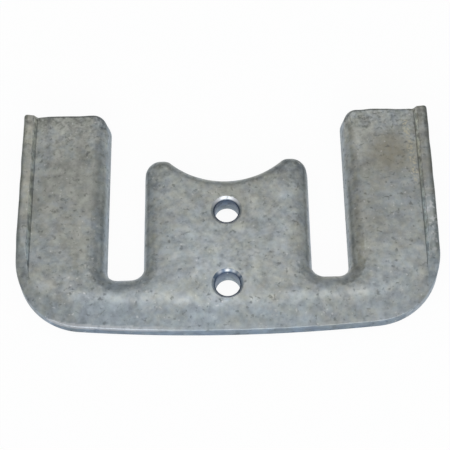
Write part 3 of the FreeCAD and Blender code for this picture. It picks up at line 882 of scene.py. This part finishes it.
def skin_tone(n):
    """How light the skin is: clouds, blotches and grain round one, then the shades.

    The arms and the slope are more even than the tongue, and a little darker, the slope as painted shade.
    """
    grain = n.times(n.ramp(n.grain, 0.25, 0.75, -0.09, 0.09), n.ramp(n.y, 0.034, 0.046, 1.0, 2.2))
    change = n.plus(n.ramp(n.clouds, 0.25, 0.75, -0.16, 0.16),
                    n.ramp(n.blotch, 0.25, 0.75, -0.15, 0.15), grain)
    on_arm = n.times(n.ramp(n.across, 0.034, 0.048), n.ramp(n.y, -0.012, 0.02))
    even = n.most(n.times(on_arm, n.ramp(n.y, 0.022, 0.034, 1.0, 0.0)), n.slope)
    spread = n.math("MULTIPLY_ADD", even, -0.28, 1.08)
    arms = n.times(on_arm, n.ramp(n.y, 0.026, 0.042, 1.0, 0.4))
    level = n.plus(n.times(n.near(*MIDDLE_SPOT), 0.10), 1.0, n.times(arms, -0.09))
    tone = n.times(n.math("MULTIPLY_ADD", change, spread, 1.0), level)
    # Painted shade on the slope, then the darker and lighter places, some of them painted shade and
    # highlights
    darker = n.times(n.slope, 0.09)
    for centre, reach, loss in SHADES:
        darker = n.math("MULTIPLY_ADD", n.near(centre, reach), loss, darker)
    tone = n.math("SUBTRACT", tone, darker)
    return n.add("ShaderNodeCombineColor", {0: tone, 1: tone, 2: tone}).outputs[0]


def brown_and_shaded_edges(n, skin):
    """Brownish colour with painted shade where the edges begin to turn, most on the right arm, then a
    fringe of painted shade on the arms and painted cool light on the turn on the left."""
    onset = n.times(n.window(n.tilt, 0.004, 0.05, 0.12, 0.26), n.lumpy, n.ramp(n.y, -0.018, -0.008))
    beside_slot = n.window(n.x, -0.0260, -0.0240, -0.0195, -0.0155)
    place = n.most(n.ramp(n.x, 0.031, 0.037), n.math("MULTIPLY_ADD", beside_slot, 0.45, 0.25))
    brown = n.times(onset, place, n.ramp(n.green, 0.35, 0.62, 0.35, 1.1))
    skin = n.tint(skin, brown, "brown")
    fringe_shade = n.times(n.window(n.tilt, 0.002, 0.02, 0.1, 0.25),
                     n.window(n.across, 0.033, 0.037, 0.052, 0.055),
                     n.ramp(n.y, -0.0165, -0.0135), n.ramp(n.x, 0.001, -0.001, 0.5, 1.0))
    skin = n.tint(skin, fringe_shade, "fringe_shade")
    turned = n.times(n.ramp(n.tilt, 0.01, 0.1), n.ramp(n.x, 0.030, 0.024))
    return n.tint(skin, turned, "turned")


def wall_light_and_shade(n, skin):
    """Painted bluish light on the steep walls, and painted shade on the outer walls and in the bores."""
    steep = n.times(n.ramp(n.tilt, 0.3, 0.9), n.ramp(n.z, 0.0083, 0.0079))
    skin = n.tint(skin, steep, "wall")
    outside = n.times(n.ramp(n.tilt, 0.12, 0.7), n.wall)
    skin = n.tint(skin, outside, "outer_wall")
    return n.tint(skin, n.bore, "bore")


def light_lips(n, skin):
    """Warmer lips with painted light on their inner walls, and a painted shade line along their outer edges
    and the arms' ends.
    """
    left_top = n.times(n.on_lip, n.ramp(n.x, 0.0, -0.001), n.ramp(n.y, 0.010, 0.026))
    skin = n.tint(skin, n.times(n.on_lip, n.ramp(n.y, 0.0, 0.03)), "lip")
    skin = n.tint(skin, n.times(n.right_lip, n.ramp(n.y, 0.010, 0.028)), "right_lip")
    skin = n.tint(skin, left_top, "left_lip")
    # Painted light on the lips' inner walls
    inner = n.times(n.ramp(n.tilt, 0.25, 0.6), n.ramp(n.z, 0.0081, 0.0091),
                    n.ramp(n.across, 0.0647, 0.0640), n.ramp(n.y, 0.0474, 0.0455),
                    n.ramp(n.blotch, 0.35, 0.6, 0.35, 1.0),
                    n.math("MULTIPLY_ADD", left_top, -0.38, 1.0))
    skin = n.tint(skin, inner, "lip_wall")
    skin = n.tint(skin, n.times(inner, n.right_lip), "right_lip_wall")
    skin = n.tint(skin, n.low_right_lip, "low_right_lip")
    # Painted shade line with a wavering edge along the outer sides and the arms' ends
    wander = n.plus(n.across, n.ramp(n.x, -0.001, 0.001, -0.0007, -0.0005), n.times(n.wander, 0.0016))
    outside = n.times(n.ramp(wander, 0.0657, 0.0669), n.ramp(n.y, -0.012, 0.004))
    ends = n.times(n.ramp(n.y, 0.0479, 0.0489), n.ramp(n.tilt, 0.004, 0.06))
    return n.tint(skin, n.times(n.most(outside, ends), n.lumpy), "edge_line_shade")


def stained_arm(n, skin):
    """Ochre grains in a slanting band beside the right lip, and a brown stain."""
    slanted = n.math("MULTIPLY_ADD", n.y, 0.11, n.x)
    beside = n.times(n.window(slanted, 0.0632, 0.0642, 0.0652, 0.0662),
                     n.window(n.y, 0.018, 0.024, 0.043, 0.047))
    grains = n.times(beside, n.ramp(n.ochre, 0.48, 0.60), OCHRE_SHARE)
    skin = n.cover(skin, grains, n.finish.ochre)
    return n.cover(skin, n.times(n.near(*STAIN_SPOT), n.lumpy, STAIN_SHARE), n.finish.stain)


def small_pits(n):
    """Small uneven pits, closer together towards the free ends."""
    more = n.math("MULTIPLY_ADD", n.upper, 0.02, n.times(n.ramp(n.y, 0.034, 0.047), 0.04))
    return n.ramp(n.math("SUBTRACT", n.hollow, more), 0.425, 0.25)


def bare_and_highlight_share(n):
    """Light specks, frost low on the right lip, and painted highlights on the chamfers and on the worn rim.
    """
    frost = n.times(n.ramp(n.glint, 0.52, 0.64), n.low_right_lip, n.ramp(n.y, -0.010, 0.0))
    speck = n.most(n.ramp(n.glint, 0.70, 0.78), frost)
    # Painted highlights on the chamfers and on the rim, where the metal is also bare, broken into patches
    worn_and_highlight = n.times(n.bare, n.ramp(n.wear, 0.2, 0.45))
    return n.most(n.times(speck, SPECK_SHARE), worn_and_highlight)


def fine_bump(n, small):
    """Fine grain and the small pits as a change of the normal."""
    lift = n.plus(n.times(n.grain, GRAIN_LIFT), n.times(n.pore, PORE_LIFT), n.times(small, PIT_LIFT))
    node = n.add("ShaderNodeBump", {"Height": lift, "Strength": BUMP_STRENGTH, "Distance": BUMP_DEPTH})
    return node.outputs["Normal"]


def cast_metal(finish):
    """Dull grey cast metal: mottled skin, dirt in pits, light specks, a worn rim and a stain, with painted
    light and shade on its edges, walls, bores and chamfers.
    """
    material = bpy.data.materials.new("cast_metal")
    material.use_nodes = True
    n = CastSkin(material.node_tree, finish)
    skin = n.mix(1.0, skin_colour(n), skin_tone(n), "MULTIPLY")
    for coat in (brown_and_shaded_edges, wall_light_and_shade, light_lips, stained_arm):
        skin = coat(n, skin)
    small = small_pits(n)
    dirt = n.most(small, n.ramp(n.pit, 0.1, 0.9, 0.0, 0.4))
    skin = n.cover(skin, n.times(dirt, DIRT_SHARE), finish.dark)
    shine = bare_and_highlight_share(n)
    skin = n.cover(skin, shine, finish.light)
    dull = n.ramp(n.grain, 0.2, 0.8,
                  finish.roughness - ROUGHNESS_SPREAD, finish.roughness + ROUGHNESS_SPREAD)
    dull = n.math("MULTIPLY_ADD", dirt, DIRT_ROUGHNESS, dull)
    rough = n.add("ShaderNodeMix", {0: shine, 2: dull, 3: finish.bare_roughness}, data_type="FLOAT")
    sockets = n.tree.nodes["Principled BSDF"].inputs
    n.put(sockets["Base Color"], skin)
    n.put(sockets["Metallic"], 1.0)
    n.put(sockets["Roughness"], rough.outputs[0])
    n.put(sockets["Normal"], fine_bump(n, small))
    return material


class ANODE_OT_casting(bpy.types.Operator):
    """The anode casting with its mottled cast skin."""

    bl_idname = "anode.casting"
    bl_label = "Anode casting"

    def execute(self, context):
        casting = bpy.data.objects.new("anode_casting", build_casting(context.scene.anode_relief))
        context.collection.objects.link(casting)
        casting.data.materials.append(cast_metal(context.scene.anode_finish))
        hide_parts("anode_plate")
        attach(casting, "root")
        return {"FINISHED"}


class ANODE_OT_stage(bpy.types.Operator):
    """The white floor, the soft surroundings and the camera."""

    bl_idname = "anode.stage"
    bl_label = "Studio"

    def execute(self, context):
        add_floor(context.scene.anode_studio)
        add_surroundings(context.scene)
        add_camera(context.scene, context.scene.anode_studio)
        return {"FINISHED"}


# Floor in metres: half its width and its depth below the casting
FLOOR_HALF, FLOOR_DROP, FLOOR_GREY = 3.0, 0.0001, (0.9, 0.9, 0.9, 1.0)

# Sky from straight below to straight above: share of the way up, then the light there
SKY_STOPS = (
    (0.0, 0.8, 0.8, 0.8),
    (0.5, 0.66, 0.68, 0.70),
    (0.64, 0.76, 0.78, 0.80),
    (0.84, 0.60, 0.61, 0.62),
    (0.93, 0.75, 0.76, 0.77),
    (0.965, 0.98, 0.98, 0.98),
    (1.0, 2.12, 2.12, 2.12),
)
FRONT_LIGHT, BACK_LIGHT = (2.55, 2.67, 2.78), (0.43, 0.44, 0.45)


def add_floor(studio):
    """A wide sheet that shows white to the camera and the metal, and keeps the shadow."""
    mesh = bpy.data.meshes.new("floor")
    corners = [(x * FLOOR_HALF, y * FLOOR_HALF, -FLOOR_DROP) for x, y in ((-1, -1), (1, -1), (1, 1), (-1, 1))]
    mesh.from_pydata(corners, [], [(0, 1, 2, 3)])
    floor = bpy.data.objects.new("floor", mesh)
    bpy.context.collection.objects.link(floor)
    material = bpy.data.materials.new("floor_paper")
    material.use_nodes = True
    n = NodeBuilder(material.node_tree)
    paper = n.tree.nodes["Principled BSDF"]
    n.put(paper.inputs["Base Color"], FLOOR_GREY)
    n.put(paper.inputs["Roughness"], 1.0)
    n.put(paper.inputs["Specular IOR Level"], 0.0)
    path = n.add("ShaderNodeLightPath").outputs
    seen = n.most(n.most(path["Is Camera Ray"], path["Is Glossy Ray"]), path["Is Transmission Ray"])
    white = n.add("ShaderNodeEmission", {"Color": (1.0, 1.0, 1.0, 1.0), "Strength": 1.0})
    share = n.times(seen, studio.paper)
    blend = n.add("ShaderNodeMixShader", {0: share, 1: paper.outputs[0], 2: white.outputs[0]})
    n.put(n.tree.nodes["Material Output"].inputs["Surface"], blend.outputs[0])
    mesh.materials.append(material)


def add_surroundings(scene):
    """A soft sky: brightest overhead and low in front, dimmer at the sides and behind."""
    world = bpy.data.worlds.new("studio")
    scene.world = world
    world.use_nodes = True
    n = NodeBuilder(world.node_tree)
    way = n.add("ShaderNodeTexCoord").outputs["Generated"]
    axes = n.add("ShaderNodeSeparateXYZ", {0: way}).outputs
    y, z = axes["Y"], axes["Z"]
    sky = n.add("ShaderNodeValToRGB", {"Fac": n.math("MULTIPLY_ADD", z, 0.5, 0.5)})
    ramp = sky.color_ramp
    ramp.interpolation = "EASE"
    while len(ramp.elements) < len(SKY_STOPS):
        ramp.elements.new(0.5)
    for element, (place, *shade) in zip(ramp.elements, SKY_STOPS):
        element.position = place
        element.color = (*shade, 1.0)
    front = n.times(n.ramp(y, -0.6, -0.9), n.ramp(z, 0.7, 0.5), n.ramp(z, 0.1, 0.3, 0.35, 1.0))
    behind = n.times(n.ramp(y, 0.35, 0.8), n.window(z, 0.0, 0.35, 0.6, 0.85))
    light = n.mix(front, sky.outputs["Color"], (*FRONT_LIGHT, 1.0))
    light = n.mix(behind, light, (*BACK_LIGHT, 1.0))
    background = n.tree.nodes["Background"].inputs
    n.put(background["Color"], light)
    n.put(background["Strength"], 1.0)


def add_camera(scene, studio):
    """The camera at the photograph's angle."""
    target = Vector(studio.aim)
    across = Vector((math.cos(studio.turn), math.sin(studio.turn), 0.0))
    along = Vector((-math.sin(studio.turn), math.cos(studio.turn), 0.0))
    back = -along * math.sin(studio.tilt) + Vector((0, 0, 1)) * math.cos(studio.tilt)
    up = along * math.cos(studio.tilt) + Vector((0, 0, 1)) * math.sin(studio.tilt)
    right = across * math.cos(studio.roll) - up * math.sin(studio.roll)
    upright = across * math.sin(studio.roll) + up * math.cos(studio.roll)
    turned = Matrix((right, upright, back)).transposed().to_4x4()
    data = bpy.data.cameras.new("camera")
    data.sensor_width = 36.0
    data.lens = studio.lens
    camera = bpy.data.objects.new("camera", data)
    bpy.context.collection.objects.link(camera)
    camera.matrix_world = Matrix.Translation(target + back * studio.distance) @ turned
    scene.camera = camera


class ANODE_PT_panel(bpy.types.Panel):
    """Lists the pieces and the stage."""

    bl_label = "Anode"
    bl_idname = "ANODE_PT_panel"
    bl_space_type = "VIEW_3D"
    bl_region_type = "UI"
    bl_category = "Anode"

    def draw(self, context):
        column = self.layout.column()
        column.operator("anode.casting")
        column.operator("anode.stage")
        for group in (context.scene.anode_relief, context.scene.anode_finish, context.scene.anode_studio):
            for name in group.bl_rna.properties.keys():
                if name not in ("rna_type", "name"):
                    column.prop(group, name)


SETTINGS = {"anode_relief": CastRelief, "anode_finish": MetalFinish, "anode_studio": StudioSettings}
CLASSES = (*SETTINGS.values(), ANODE_OT_casting, ANODE_OT_stage, ANODE_PT_panel)


def register():
    for cls in CLASSES:
        bpy.utils.register_class(cls)
    for name, cls in SETTINGS.items():
        setattr(bpy.types.Scene, name, PointerProperty(type=cls))


def unregister():
    for name in reversed(SETTINGS):
        delattr(bpy.types.Scene, name)
    for cls in reversed(CLASSES):
        bpy.utils.unregister_class(cls)


def main():
    register()
    bpy.context.scene.view_settings.view_transform = "Standard"
    bpy.ops.anode.casting()
    bpy.ops.anode.stage()


if __name__ == "__main__":
    main()
